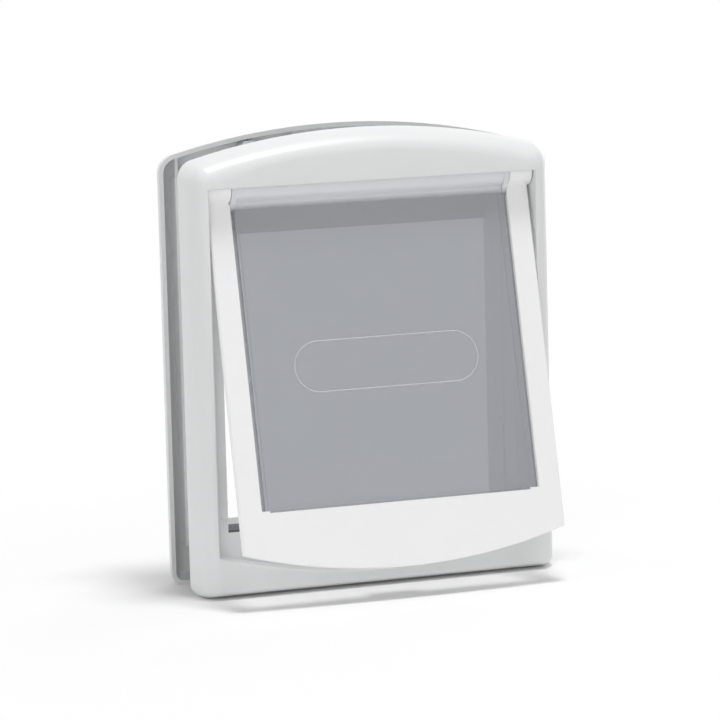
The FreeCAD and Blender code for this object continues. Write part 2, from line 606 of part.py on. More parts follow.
def build():
    """All nodes by name, in the frame's own place."""
    nodes = {
        "front_frame": make_front_frame(),
        "rear_frame": make_rear_frame(),
        "surround": tilt(make_surround()),
        "clear_flap": tilt(make_flap()),
        "sill_pile_base": make_pile_base(),
        "sill_pile": make_pile(),
    }
    holder, flap_magnet = make_flap_magnet_parts()
    nodes["flap_magnet_holder"] = tilt(holder)
    nodes["flap_magnet"] = tilt(flap_magnet)
    nodes["sill_magnet_housing"], nodes["sill_magnet"] = make_sill_magnet_parts()
    for side, name in ((-1, "left"), (1, "right")):
        nodes["hinge_pin_" + name] = make_hinge_pin(side)
    for name, x, z in screw_places():
        nodes["fixing_screw_" + name] = make_screw(x, z)
        nodes["screw_cap_" + name] = make_screw_cap(x, z)
    return nodes


os.makedirs("parts", exist_ok=True)
for node, solid in build().items():
    solid.translate(Vector(0, Y_SHIFT, 0))
    solid.exportStep("parts/" + node + ".step")
    print(node, "solids", len(solid.Solids), "valid", solid.isValid(), "volume", round(solid.Volume, 1))
print("shift", round(Y_SHIFT, 4))
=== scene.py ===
"""Dresses the cat flap and lights it as in its photograph.

Moulded fascias, white surround, tinted flap, brush seal, magnets and fasteners.
"""

import logging
import math
from dataclasses import dataclass, field
from enum import Enum

import bmesh
import bpy
from mathutils import Matrix, Vector


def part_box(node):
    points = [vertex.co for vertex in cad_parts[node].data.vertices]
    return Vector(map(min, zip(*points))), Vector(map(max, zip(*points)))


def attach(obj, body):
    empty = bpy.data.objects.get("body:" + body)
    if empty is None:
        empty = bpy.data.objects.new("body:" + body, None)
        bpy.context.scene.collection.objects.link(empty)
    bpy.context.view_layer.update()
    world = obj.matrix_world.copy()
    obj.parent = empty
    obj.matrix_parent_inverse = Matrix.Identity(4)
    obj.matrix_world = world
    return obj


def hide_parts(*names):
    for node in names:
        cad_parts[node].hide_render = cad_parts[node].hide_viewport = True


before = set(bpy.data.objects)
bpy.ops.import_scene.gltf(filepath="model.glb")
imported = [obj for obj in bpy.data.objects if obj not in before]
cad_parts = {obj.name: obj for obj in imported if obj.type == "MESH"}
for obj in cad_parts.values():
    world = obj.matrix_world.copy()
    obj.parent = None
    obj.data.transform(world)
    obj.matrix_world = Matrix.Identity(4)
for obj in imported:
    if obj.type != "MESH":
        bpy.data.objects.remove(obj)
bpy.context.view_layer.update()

log = logging.getLogger("cat_flap")

Colour = tuple[float, float, float]
Axes = tuple[float, float, float]

NOISE_LOW = 0.3
NOISE_HIGH = 0.7
FASCIA_WHITE: Colour = (0.76, 0.765, 0.77)


class Body(Enum):
    """CAD bodies that a piece can ride on."""

    FRAME = "frame"
    SURROUND = "surround"
    FLAP = "flap"


class Slot(Enum):
    """Material slots of the record."""

    FASCIA = "fascia_plastic"
    SURROUND = "surround_plastic"
    CLEAR = "clear_plastic"
    BACKING = "pile_backing"
    PILE = "pile_fibre"
    MAGNET = "magnet_black"
    COVER = "magnet_cover"
    PIN = "pin_steel"
    SCREW = "screw_steel"
    CAP = "cap_plastic"


class Corner(Enum):
    """The four fixing places, as the CAD names them."""

    TOP_LEFT = "top_left"
    TOP_RIGHT = "top_right"
    BOTTOM_LEFT = "bottom_left"
    BOTTOM_RIGHT = "bottom_right"


# Finishes


@dataclass(frozen=True)
class Finish:
    """Shared parts of a node material: a shader, and slow noise on Object coordinates."""

    name: str

    def start(self) -> tuple[bpy.types.Material, bpy.types.NodeTree, bpy.types.Node,
                             bpy.types.NodeSocket]:
        """Makes the empty material.

        Returns:
            The material, its node tree, its Principled shader and the Object coordinate socket.
        """
        material = bpy.data.materials.new(self.name)
        material.use_nodes = True
        tree = material.node_tree
        tree.nodes.clear()
        output = tree.nodes.new("ShaderNodeOutputMaterial")
        output.name = "Out"
        shader = tree.nodes.new("ShaderNodeBsdfPrincipled")
        place = tree.nodes.new("ShaderNodeTexCoord")
        tree.links.new(shader.outputs["BSDF"], output.inputs["Surface"])
        return material, tree, shader, place.outputs["Object"]

    def noise(self, tree: bpy.types.NodeTree, place: bpy.types.NodeSocket, scale: float,
              detail: float = 3.0, stretch: Axes = (1.0, 1.0, 1.0)) -> bpy.types.NodeSocket:
        """Adds a noise pattern.

        Args:
            tree: the material's nodes.
            place: the Object coordinates.
            scale: how fine the pattern is, per metre.
            detail: how many octaves it has.
            stretch: scale on each axis, for a grain.

        Returns:
            The pattern's value socket.
        """
        mapping = tree.nodes.new("ShaderNodeMapping")
        mapping.inputs["Scale"].default_value = stretch
        texture = tree.nodes.new("ShaderNodeTexNoise")
        texture.inputs["Scale"].default_value = scale
        texture.inputs["Detail"].default_value = detail
        tree.links.new(place, mapping.inputs["Vector"])
        tree.links.new(mapping.outputs["Vector"], texture.inputs["Vector"])
        return texture.outputs["Fac"]

    def blend(self, tree: bpy.types.NodeTree, fac: bpy.types.NodeSocket, low: Colour,
              high: Colour) -> bpy.types.NodeSocket:
        """Turns a pattern into a colour between two close ones.

        Args:
            tree: the material's nodes.
            fac: the pattern.
            low: colour at its low end.
            high: colour at its high end.

        Returns:
            The colour socket.
        """
        ramp = tree.nodes.new("ShaderNodeValToRGB")
        ramp.color_ramp.elements[0].position = NOISE_LOW
        ramp.color_ramp.elements[0].color = (*low, 1.0)
        ramp.color_ramp.elements[1].position = NOISE_HIGH
        ramp.color_ramp.elements[1].color = (*high, 1.0)
        tree.links.new(fac, ramp.inputs["Fac"])
        return ramp.outputs["Color"]

    def between(self, tree: bpy.types.NodeTree, fac: bpy.types.NodeSocket, low: float,
                high: float) -> bpy.types.NodeSocket:
        """Turns a pattern into a number from low to high.

        Args:
            tree: the material's nodes.
            fac: the pattern.
            low: number at the low end.
            high: number at the high end.

        Returns:
            The number's socket.
        """
        span = tree.nodes.new("ShaderNodeMapRange")
        span.inputs["From Min"].default_value = NOISE_LOW
        span.inputs["From Max"].default_value = NOISE_HIGH
        span.inputs["To Min"].default_value = low
        span.inputs["To Max"].default_value = high
        tree.links.new(fac, span.inputs["Value"])
        return span.outputs["Result"]

    def bump(self, tree: bpy.types.NodeTree, shader: bpy.types.Node, height: bpy.types.NodeSocket,
             strength: float, distance: float) -> None:
        """Adds a fine relief.

        Args:
            tree: the material's nodes.
            shader: the shader that gets it.
            height: the relief's pattern.
            strength: how much of it shows.
            distance: its height in metres.
        """
        relief = tree.nodes.new("ShaderNodeBump")
        relief.inputs["Strength"].default_value = strength
        relief.inputs["Distance"].default_value = distance
        tree.links.new(height, relief.inputs["Height"])
        tree.links.new(relief.outputs["Normal"], shader.inputs["Normal"])

    def scaled(self, colour: Colour, share: float) -> Colour:
        """Makes a colour darker or lighter.

        Args:
            colour: the colour.
            share: what each part is multiplied by.

        Returns:
            The new colour.
        """
        return tuple(part * share for part in colour)


@dataclass(frozen=True)
class MouldedPlastic(Finish):
    """Satin moulded plastic with a faint mould texture."""

    colour: Colour = (0.8, 0.8, 0.8)
    shade: float = 0.985
    roughness: float = 0.36
    spread: float = 0.05
    grain: float = 900.0
    relief: float = 0.04
    relief_height: float = 0.0001
    cloud: float = 24.0
    gloss: float = 0.45
    index: float = 1.49

    def build(self) -> bpy.types.Material:
        """Makes the node material.

        Returns:
            The material.
        """
        material, tree, shader, place = self.start()
        slow = self.noise(tree, place, self.cloud)
        darker = self.scaled(self.colour, self.shade)
        tree.links.new(self.blend(tree, slow, darker, self.colour), shader.inputs["Base Color"])
        least, most = self.roughness - self.spread, self.roughness + self.spread
        tree.links.new(self.between(tree, slow, least, most), shader.inputs["Roughness"])
        shader.inputs["Specular IOR Level"].default_value = self.gloss
        shader.inputs["IOR"].default_value = self.index
        grain = self.noise(tree, place, self.grain, detail=2.0)
        self.bump(tree, shader, grain, self.relief, self.relief_height)
        return material


@dataclass(frozen=True)
class TintedClear(Finish):
    """Polished, slightly cloudy smoke-tinted plastic; along the hinge drum it is painted paler and
    less clear, a painted highlight in place of the reflection there.
    """

    colour: Colour = (0.345, 0.362, 0.393)
    # Painted highlight: the drum gets a paler colour and less clearness than the sheet, standing in
    # for the reflection along it.
    drum_highlight_colour: Colour = (0.68, 0.7, 0.73)
    shade: float = 0.98
    cloud: float = 30.0
    index: float = 1.49
    coat_index: float = 1.75
    roughness: float = 0.04
    spread: float = 0.4
    clearness: float = 0.64
    drum_highlight_clearness: float = 0.12
    drum_reach: float = 0.0095
    drum_fade: float = 1.3
    passing: Colour = (0.9, 0.9, 0.9)
    hinge: Axes = (0.0, -0.001397, 0.21)

    def build(self) -> bpy.types.Material:
        """Makes the node material.

        Returns:
            The material.
        """
        material, tree, shader, place = self.start()
        slow = self.noise(tree, place, self.cloud, detail=2.0)
        sheet = self.drum_highlight_mask(tree, place)
        darker = self.scaled(self.colour, self.shade)
        # Painted highlight: the drum takes the paler colour, the sheet keeps its tint.
        paint = tree.nodes.new("ShaderNodeMixRGB")
        tree.links.new(sheet, paint.inputs["Fac"])
        paint.inputs["Color1"].default_value = (*self.drum_highlight_colour, 1.0)
        tree.links.new(self.blend(tree, slow, darker, self.colour), paint.inputs["Color2"])
        tree.links.new(paint.outputs["Color"], shader.inputs["Base Color"])
        # Painted highlight: the drum lets less light through, so its pale colour shows as a bright
        # band.
        clear = tree.nodes.new("ShaderNodeMapRange")
        clear.inputs["To Min"].default_value = self.drum_highlight_clearness
        clear.inputs["To Max"].default_value = self.clearness
        tree.links.new(sheet, clear.inputs["Value"])
        tree.links.new(clear.outputs["Result"], shader.inputs["Transmission Weight"])
        least, most = self.roughness * (1.0 - self.spread), self.roughness * (1.0 + self.spread)
        tree.links.new(self.between(tree, slow, least, most), shader.inputs["Roughness"])
        shader.inputs["IOR"].default_value = self.index
        shader.inputs["Coat Weight"].default_value = 1.0
        shader.inputs["Coat IOR"].default_value = self.coat_index
        self.let_light_through(tree, shader)
        return material

    def let_light_through(self, tree: bpy.types.NodeTree, shader: bpy.types.Node) -> None:
        """Lets lamp light and light between pieces cross the flap, as in thin clear plastic.

        Args:
            tree: the material's nodes.
            shader: the shader that everything else sees.
        """
        path = tree.nodes.new("ShaderNodeLightPath")
        either = tree.nodes.new("ShaderNodeMath")
        either.operation = "MAXIMUM"
        tree.links.new(path.outputs["Is Shadow Ray"], either.inputs[0])
        tree.links.new(path.outputs["Is Diffuse Ray"], either.inputs[1])
        passing = tree.nodes.new("ShaderNodeBsdfTransparent")
        passing.inputs["Color"].default_value = (*self.passing, 1.0)
        mix = tree.nodes.new("ShaderNodeMixShader")
        tree.links.new(either.outputs["Value"], mix.inputs[0])
        tree.links.new(shader.outputs["BSDF"], mix.inputs[1])
        tree.links.new(passing.outputs["BSDF"], mix.inputs[2])
        tree.links.new(mix.outputs["Shader"], tree.nodes["Out"].inputs["Surface"])

    def drum_highlight_mask(self, tree: bpy.types.NodeTree,
                  place: bpy.types.NodeSocket) -> bpy.types.NodeSocket:
        """Tells the drum along the hinge, where the painted highlight goes, from the polished
        sheet.

        Args:
            tree: the material's nodes.
            place: the Object coordinates.

        Returns:
            A socket that is 0 in the drum and 1 in the sheet.
        """
        mapping = tree.nodes.new("ShaderNodeMapping")
        mapping.vector_type = "TEXTURE"
        mapping.inputs["Location"].default_value = self.hinge
        tree.links.new(place, mapping.inputs["Vector"])
        across = tree.nodes.new("ShaderNodeVectorMath")
        across.operation = "MULTIPLY"
        across.inputs[1].default_value = (0.0, 1.0, 1.0)
        tree.links.new(mapping.outputs["Vector"], across.inputs[0])
        reach = tree.nodes.new("ShaderNodeVectorMath")
        reach.operation = "LENGTH"
        tree.links.new(across.outputs["Vector"], reach.inputs[0])
        span = tree.nodes.new("ShaderNodeMapRange")
        span.inputs["From Min"].default_value = self.drum_reach
        span.inputs["From Max"].default_value = self.drum_reach * self.drum_fade
        tree.links.new(reach.outputs["Value"], span.inputs["Value"])
        return span.outputs["Result"]


@dataclass(frozen=True)
class FrostedLine(Finish):
    """Fine frosted line in the flap, paler than the sheet."""

    colour: Colour = (0.62, 0.64, 0.66)
    shade: float = 0.92
    grain: float = 1200.0
    roughness: float = 0.55

    def build(self) -> bpy.types.Material:
        """Makes the node material.

        Returns:
            The material.
        """
        material, tree, shader, place = self.start()
        grain = self.noise(tree, place, self.grain)
        darker = self.scaled(self.colour, self.shade)
        tree.links.new(self.blend(tree, grain, darker, self.colour), shader.inputs["Base Color"])
        shader.inputs["Roughness"].default_value = self.roughness
        return material


@dataclass(frozen=True)
class BrightMetal(Finish):
    """Drawn or plated steel, with a grain along one axis."""

    colour: Colour = (0.62, 0.62, 0.63)
    shade: float = 0.88
    grain: float = 600.0
    roughness: float = 0.3
    smoothest: float = 0.8
    roughest: float = 1.3
    stretch: Axes = (1.0, 1.0, 1.0)

    def build(self) -> bpy.types.Material:
        """Makes the node material.

        Returns:
            The material.
        """
        material, tree, shader, place = self.start()
        grain = self.noise(tree, place, self.grain, stretch=self.stretch)
        darker = self.scaled(self.colour, self.shade)
        tree.links.new(self.blend(tree, grain, darker, self.colour), shader.inputs["Base Color"])
        least, most = self.roughness * self.smoothest, self.roughness * self.roughest
        tree.links.new(self.between(tree, grain, least, most), shader.inputs["Roughness"])
        shader.inputs["Metallic"].default_value = 1.0
        return material


@dataclass(frozen=True)
class SinteredMagnet(Finish):
    """Dark pressed magnet with a mottled, matt face."""

    colour: Colour = (0.035, 0.035, 0.038)
    light: float = 1.8
    mottle: float = 700.0
    smoothest: float = 0.5
    roughest: float = 0.72
    relief: float = 0.2
    relief_height: float = 0.0002

    def build(self) -> bpy.types.Material:
        """Makes the node material.

        Returns:
            The material.
        """
        material, tree, shader, place = self.start()
        mottle = self.noise(tree, place, self.mottle, detail=6.0)
        lighter = self.scaled(self.colour, self.light)
        tree.links.new(self.blend(tree, mottle, self.colour, lighter), shader.inputs["Base Color"])
        uneven = self.between(tree, mottle, self.smoothest, self.roughest)
        tree.links.new(uneven, shader.inputs["Roughness"])
        self.bump(tree, shader, mottle, self.relief, self.relief_height)
        return material


@dataclass(frozen=True)
class WovenFibre(Finish):
    """Dull fibre of the brush seal, with lighter strands among it."""

    colour: Colour = (0.27, 0.27, 0.275)
    light: float = 1.5
    grain: float = 1500.0
    roughness: float = 0.8
    sheen: float = 0.25

    def build(self) -> bpy.types.Material:
        """Makes the node material.

        Returns:
            The material.
        """
        material, tree, shader, place = self.start()
        strand = self.noise(tree, place, self.grain, detail=2.0)
        lighter = self.scaled(self.colour, self.light)
        tree.links.new(self.blend(tree, strand, self.colour, lighter), shader.inputs["Base Color"])
        shader.inputs["Roughness"].default_value = self.roughness
        shader.inputs["Sheen Weight"].default_value = self.sheen
        return material


# Shared mesh work


def link(obj: bpy.types.Object) -> bpy.types.Object:
    """Puts an object in the scene.

    Args:
        obj: the object.

    Returns:
        The object.
    """
    bpy.context.scene.collection.objects.link(obj)
    return obj


def settle(obj: bpy.types.Object, name: str) -> bpy.types.Object:
    """Turns an object and its modifiers into a new plain mesh object at the origin.

    Args:
        obj: the object with live modifiers; it is removed.
        name: name of the result.

    Returns:
        The plain object.
    """
    depsgraph = bpy.context.evaluated_depsgraph_get()
    mesh = bpy.data.meshes.new_from_object(obj.evaluated_get(depsgraph), depsgraph=depsgraph)
    obj.modifiers.clear()
    bpy.data.objects.remove(obj, do_unlink=True)
    mesh.name = name
    return link(bpy.data.objects.new(name, mesh))


def dress(obj: bpy.types.Object, material: bpy.types.Material) -> None:
    """Gives every face of a piece one material.

    Args:
        obj: the piece.
        material: its finish.
    """
    obj.data.materials.clear()
    obj.data.materials.append(material)
    for polygon in obj.data.polygons:
        polygon.material_index = 0


def place_piece(obj: bpy.types.Object, body: Body, slot: Slot, *nodes: str) -> bpy.types.Object:
    """Lets a piece ride on its body and stand for its CAD nodes.

    Args:
        obj: the piece.
        body: the body that carries it.
        slot: the record's slot of its finish; not used.
        nodes: CAD nodes that it stands for.

    Returns:
        The piece.
    """
    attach(obj, body.value)
    if nodes:
        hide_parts(*nodes)
    log.info("%s: %d faces, on %s", obj.name, len(obj.data.polygons), body.value)
    return obj


@dataclass
class MouldedCopy:
    """A copy of a CAD node with merged corners, soft edges and smooth shading."""

    node: str
    name: str
    sharp_angle: float = 32.0
    soft_edge: float = 0.0
    edge_steps: int = 2
    flat_angle: float = 0.5
    shading_weight: int = 50
    merge: float = 2e-6

    def build(self, material: bpy.types.Material) -> bpy.types.Object:
        """Makes the copy.

        Args:
            material: its finish.

        Returns:
            The plain object.
        """
        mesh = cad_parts[self.node].data.copy()
        mesh.name = self.name
        for layer in ("custom_normal", "sharp_face", "sharp_edge"):
            if layer in mesh.attributes:
                mesh.attributes.remove(mesh.attributes[layer])
        shape = bmesh.new()
        shape.from_mesh(mesh)
        bmesh.ops.remove_doubles(shape, verts=shape.verts, dist=self.merge)
        if self.soft_edge:
            bmesh.ops.dissolve_limit(shape, angle_limit=math.radians(self.flat_angle),
                                     verts=shape.verts, edges=shape.edges,
                                     use_dissolve_boundaries=False)
        shape.to_mesh(mesh)
        shape.free()
        obj = link(bpy.data.objects.new(self.name, mesh))
        dress(obj, material)
        if self.soft_edge:
            bevel = obj.modifiers.new("soft_edges", "BEVEL")
            bevel.width = self.soft_edge
            bevel.segments = self.edge_steps
            bevel.limit_method = "ANGLE"
            bevel.angle_limit = math.radians(self.sharp_angle)
            obj = settle(obj, self.name)
        obj.data.shade_smooth()
        obj.data.set_sharp_from_angle(angle=math.radians(self.sharp_angle))
        weigh = obj.modifiers.new("even_shading", "WEIGHTED_NORMAL")
        weigh.keep_sharp = True
        weigh.weight = self.shading_weight
        return settle(obj, self.name)


@dataclass
class Turned:
    """A turned piece: a profile of (along, radius) steps spun about an axis."""

    name: str
    profile: list[tuple[float, float]]
    segments: int = 48
    sharp_angle: float = 35.0

    def build(self, start: Vector, along: Vector, material: bpy.types.Material) -> bpy.types.Object:
        """Spins the profile.

        Args:
            start: where the axis starts.
            along: direction of the axis.
            material: its finish.

        Returns:
            The closed object.
        """
        shape = bmesh.new()
        turn = along.normalized().to_track_quat("Z", "Y").to_matrix()
        rings = []
        for distance, radius in self.profile:
            ring = []
            for step in range(self.segments):
                angle = 2 * math.pi * step / self.segments
                spot = turn @ Vector((radius * math.cos(angle), radius * math.sin(angle), distance))
                ring.append(shape.verts.new(start + spot))
            rings.append(ring)
        for low, high in zip(rings, rings[1:]):
            for step in range(self.segments):
                after = (step + 1) % self.segments
                shape.faces.new((low[step], low[after], high[after], high[step]))
        shape.faces.new(list(reversed(rings[0])))
        shape.faces.new(rings[-1])
        bmesh.ops.recalc_face_normals(shape, faces=shape.faces)
        mesh = bpy.data.meshes.new(self.name)
        shape.to_mesh(mesh)
        shape.free()
        obj = link(bpy.data.objects.new(self.name, mesh))
        dress(obj, material)
        obj.data.shade_smooth()
        obj.data.set_sharp_from_angle(angle=math.radians(self.sharp_angle))
        return obj


class GeometryTree:
    """Builds one Geometry Nodes tree with named inputs and runs it into a plain mesh."""

    def __init__(self, name: str) -> None:
        """Starts the tree.

        Args:
            name: name of the tree.
        """
        self.name = name
        self.tree = bpy.data.node_groups.new(name, "GeometryNodeTree")
        self.tree.interface.new_socket("Geometry", in_out="OUTPUT",
                                       socket_type="NodeSocketGeometry")
        self.inputs = self.tree.nodes.new("NodeGroupInput")
        self.values: dict[str, float] = {}

    def number(self, label: str, value: float, whole: bool = False) -> bpy.types.NodeSocket:
        """Adds a named input.

        Args:
            label: name of the input.
            value: its value in metres, radians or a count.
            whole: whether it is a count.

        Returns:
            The input's socket inside the tree.
        """
        kind = "NodeSocketInt" if whole else "NodeSocketFloat"
        item = self.tree.interface.new_socket(label, in_out="INPUT", socket_type=kind)
        self.values[item.identifier] = int(value) if whole else float(value)
        return self.inputs.outputs[label]

    def add(self, kind: str, links: dict[str | int, bpy.types.NodeSocket] | None = None,
            values: dict[str | int, object] | None = None, **settings: object) -> bpy.types.Node:
        """Adds a node.

        Args:
            kind: its Blender type.
            links: sockets joined to its inputs.
            values: constants of its inputs.
            settings: properties of the node itself.

        Returns:
            The node.
        """
        node = self.tree.nodes.new(kind)
        for key, value in settings.items():
            setattr(node, key, value)
        for key, value in (values or {}).items():
            node.inputs[key].default_value = value
        for key, socket in (links or {}).items():
            self.tree.links.new(socket, node.inputs[key])
        return node

    def sum(self, a: bpy.types.NodeSocket, b: bpy.types.NodeSocket) -> bpy.types.NodeSocket:
        """Adds two numbers.

        Args:
            a: the first number.
            b: the second number.

        Returns:
            The sum's socket.
        """
        return self.add("ShaderNodeMath", {0: a, 1: b}, operation="ADD").outputs[0]

    def move(self, geometry: bpy.types.NodeSocket, place: Axes,
             turn: Axes = (0.0, 0.0, 0.0)) -> bpy.types.NodeSocket:
        """Turns and moves a geometry.

        Args:
            geometry: the geometry's socket.
            place: how far it moves, in metres.
            turn: how far it turns about each axis, in radians.

        Returns:
            The moved geometry's socket.
        """
        node = self.add("GeometryNodeTransform", {"Geometry": geometry},
                        {"Translation": place, "Rotation": turn})
        return node.outputs["Geometry"]

    def run(self, geometry: bpy.types.NodeSocket, material: bpy.types.Material,
            name: str) -> bpy.types.Object:
        """Ends the tree and turns its result into a plain mesh object.

        Args:
            geometry: the result inside the tree.
            material: its finish.
            name: name of the object.

        Returns:
            The plain object at the origin.
        """
        real = self.add("GeometryNodeRealizeInstances", {"Geometry": geometry})
        paint = self.add("GeometryNodeSetMaterial", {"Geometry": real.outputs["Geometry"]},
                         {"Material": material})
        output = self.tree.nodes.new("NodeGroupOutput")
        self.tree.links.new(paint.outputs["Geometry"], output.inputs["Geometry"])
        holder = link(bpy.data.objects.new(name, bpy.data.meshes.new(name)))
        modifier = holder.modifiers.new(self.name, "NODES")
        modifier.node_group = self.tree
        for identifier, value in self.values.items():
            modifier[identifier] = value
        obj = settle(holder, name)
        dress(obj, material)
        return obj


# Sub-assemblies


@dataclass
class FasciaPair:
    """Front and rear fascia mouldings."""

    finish: MouldedPlastic = MouldedPlastic("white_fascia", colour=FASCIA_WHITE)
    pieces: dict[str, str] = field(default_factory=lambda: {
        "front_frame": "front_fascia", "rear_frame": "rear_fascia"})

    def build(self) -> None:
        """Makes both mouldings from their CAD nodes."""
        material = self.finish.build()
        for node, name in self.pieces.items():
            obj = MouldedCopy(node, name).build(material)
            place_piece(obj, Body.FRAME, Slot.FASCIA, node)


@dataclass
class Surround:
    """White surround with a softly broken edge."""

    edge: float = 0.0003
    finish: MouldedPlastic = MouldedPlastic("bright_surround", colour=(0.88, 0.88, 0.88),
                                            roughness=0.33)

    def build(self) -> None:
        """Makes the surround from its CAD node."""
        copy = MouldedCopy("surround", "surround_panel", soft_edge=self.edge)
        place_piece(copy.build(self.finish.build()), Body.SURROUND, Slot.SURROUND, "surround")


@dataclass
class ClearFlap:
    """Clear flap with its drum, ears, raised pad and bare lozenge line."""

    sharp_angle: float = 28.0
    finish: TintedClear = TintedClear("tinted_flap")

    def build(self) -> None:
        """Makes the flap from its CAD node."""
        copy = MouldedCopy("clear_flap", "flap_window", sharp_angle=self.sharp_angle)
        place_piece(copy.build(self.finish.build()), Body.FLAP, Slot.CLEAR, "clear_flap")


@dataclass
class LozengeLine:
    """Bare lozenge outline: a frosted line in the shallow groove of the sheet."""

    long: float = 0.1
    high: float = 0.0265
    groove: float = 0.0006
    line: float = 0.00046
    deep: float = 0.0002
    seat: float = 0.2
    end_share: float = 0.999
    end_steps: int = 16
    drop: float = 0.094288
    face: float = -0.00095
    tilt: float = 13.8
    finish: FrostedLine = FrostedLine("frosted_line")

    def build(self) -> None:
        """Draws the outline with nodes and swings it to the angle of the sheet."""
        hinge = Vector(self.find_hinge())
        tree = GeometryTree("lozenge_outline")
        long = tree.number("Length", self.long - self.groove)
        high = tree.number("Height", self.high - self.groove)
        round_r = tree.number("End radius", (self.high - self.groove) / 2 * self.end_share)
        line = tree.number("Line width", self.line)
        deep = tree.number("Line depth", self.deep)
        box = "GeometryNodeCurvePrimitiveQuadrilateral"
        outline = tree.add(box, {"Width": long, "Height": high})
        rounded = tree.add("GeometryNodeFilletCurve",
                           {"Curve": outline.outputs["Curve"], "Radius": round_r},
                           {"Count": self.end_steps}, mode="POLY")
        section = tree.add(box, {"Width": line, "Height": deep})
        band = tree.add("GeometryNodeCurveToMesh", {"Curve": rounded.outputs["Curve"],
                                                    "Profile Curve": section.outputs["Curve"]})
        upright = tree.move(band.outputs["Mesh"],
                            (0.0, self.face + self.groove * self.seat, -self.drop),
                            (math.pi / 2, 0.0, 0.0))
        swung = tree.move(upright, hinge, (-math.radians(self.tilt), 0.0, 0.0))
        obj = tree.run(swung, self.finish.build(), "lozenge_line")
        place_piece(obj, Body.FLAP, Slot.CLEAR)

    def find_hinge(self) -> Axes:
        """Finds the middle of the hinge axis from a pin, which lies on it.

        Returns:
            The place of the middle.
        """
        low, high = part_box("hinge_pin_left")
        return 0.0, (low.y + high.y) / 2, (low.z + high.z) / 2


@dataclass
class BrushSeal:
    """Pile seal on the sill: a backing strip and rows of short fibres."""

    across: float = 0.00045
    fibre: float = 0.00024
    lean: float = 0.16
    fall: float = 0.12
    longest: float = 0.985
    tip: float = 0.35
    fibre_sides: int = 4
    fewest_rows: int = 3
    seed: int = 7
    seed_step: int = 11
    backing: MouldedPlastic = MouldedPlastic("pile_backing", colour=(0.11, 0.11, 0.115),
                                             roughness=0.6, spread=0.08)
    strand: WovenFibre = WovenFibre("pile_fibre")

    def build(self) -> None:
        """Dresses the backing and grows the fibres in place of the plain block."""
        dress(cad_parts["sill_pile_base"], self.backing.build())
        low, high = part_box("sill_pile")
        size = high - low
        inset = self.fibre + math.sin(self.lean) * size.z / 2
        tree = GeometryTree("pile_rows")
        long = tree.number("Length", size.x - 2 * inset)
        wide = tree.number("Width", size.y - 2 * inset)
        tall = tree.number("Height", size.z)
        radius = tree.number("Fibre radius", self.fibre)
        columns = tree.number("Columns", int(size.x / self.across), whole=True)
        rows = tree.number("Rows", max(self.fewest_rows, int(size.y / self.across)), whole=True)
        lean = tree.number("Lean", self.lean)
        back = tree.number("Lean back", -self.lean)
        least = tree.number("Least length", 1.0 - self.fall)
        seed = tree.number("Seed", self.seed, whole=True)
        grid = tree.add("GeometryNodeMeshGrid", {"Size X": long, "Size Y": wide,
                                                 "Vertices X": columns, "Vertices Y": rows})
        fibre = tree.add("GeometryNodeMeshCone", {"Radius Bottom": radius, "Depth": tall},
                         {"Vertices": self.fibre_sides, "Radius Top": self.fibre * self.tip})
        random = "FunctionNodeRandomValue"
        tilt_x = tree.add(random, {2: back, 3: lean, "Seed": seed}, data_type="FLOAT")
        seed_y = tree.sum(seed, tree.number("Seed step", self.seed_step, whole=True))
        tilt_y = tree.add(random, {2: back, 3: lean, "Seed": seed_y}, data_type="FLOAT")
        spin = tree.add("ShaderNodeCombineXYZ", {"X": tilt_x.outputs[1], "Y": tilt_y.outputs[1]})
        length = tree.add(random, {2: least, "Seed": seed}, {3: self.longest}, data_type="FLOAT")
        stretch = tree.add("ShaderNodeCombineXYZ", {"Z": length.outputs[1]}, {"X": 1.0, "Y": 1.0})
        spread = tree.add("GeometryNodeInstanceOnPoints",
                          {"Points": grid.outputs["Mesh"], "Instance": fibre.outputs["Mesh"],
                           "Rotation": spin.outputs["Vector"], "Scale": stretch.outputs["Vector"]})
        middle = (low + high) / 2
        placed = tree.move(spread.outputs["Instances"], (middle.x, middle.y, low.z))
        obj = tree.run(placed, self.strand.build(), "brush_pile")
        place_piece(obj, Body.FRAME, Slot.PILE, "sill_pile")


@dataclass
class MagnetSet:
    """Magnets in the foot of the flap and on the sill, with their covers."""

    edge: float = 0.0004
    magnet: SinteredMagnet = SinteredMagnet("dark_magnet")
    cover: MouldedPlastic = MouldedPlastic("magnet_cover", colour=(0.74, 0.74, 0.75),
                                           roughness=0.42)
    pieces: dict[str, tuple[str, Body]] = field(default_factory=lambda: {
        "flap_magnet_holder": ("flap_magnet_case", Body.FLAP),
        "sill_magnet_housing": ("sill_magnet_case", Body.FRAME)})

    def build(self) -> None:
        """Dresses the magnets and makes their covers with soft edges."""
        dark = self.magnet.build()
        dress(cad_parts["flap_magnet"], dark)
        dress(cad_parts["sill_magnet"], dark)
        white = self.cover.build()
        for node, (name, body) in self.pieces.items():
            obj = MouldedCopy(node, name, soft_edge=self.edge).build(white)
            place_piece(obj, body, Slot.COVER, node)


@dataclass
class HingePins:
    """Steel stub pins with broken ends."""

    chamfer: float = 0.0004
    finish: BrightMetal = BrightMetal("pin_steel", colour=(0.56, 0.56, 0.57),
                                      stretch=(0.05, 1.0, 1.0))

    def build(self) -> None:
        """Turns both pins in the place of their CAD nodes."""
        material = self.finish.build()
        for node in ("hinge_pin_left", "hinge_pin_right"):
            low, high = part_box(node)
            radius = (high.z - low.z) / 2
            length = high.x - low.x
            start = Vector((low.x, (low.y + high.y) / 2, (low.z + high.z) / 2))
            profile = [(0.0, radius - self.chamfer), (self.chamfer, radius),
                       (length - self.chamfer, radius), (length, radius - self.chamfer)]
            obj = Turned(node + "_turned", profile).build(start, Vector((1, 0, 0)), material)
            place_piece(obj, Body.FRAME, Slot.PIN, node)


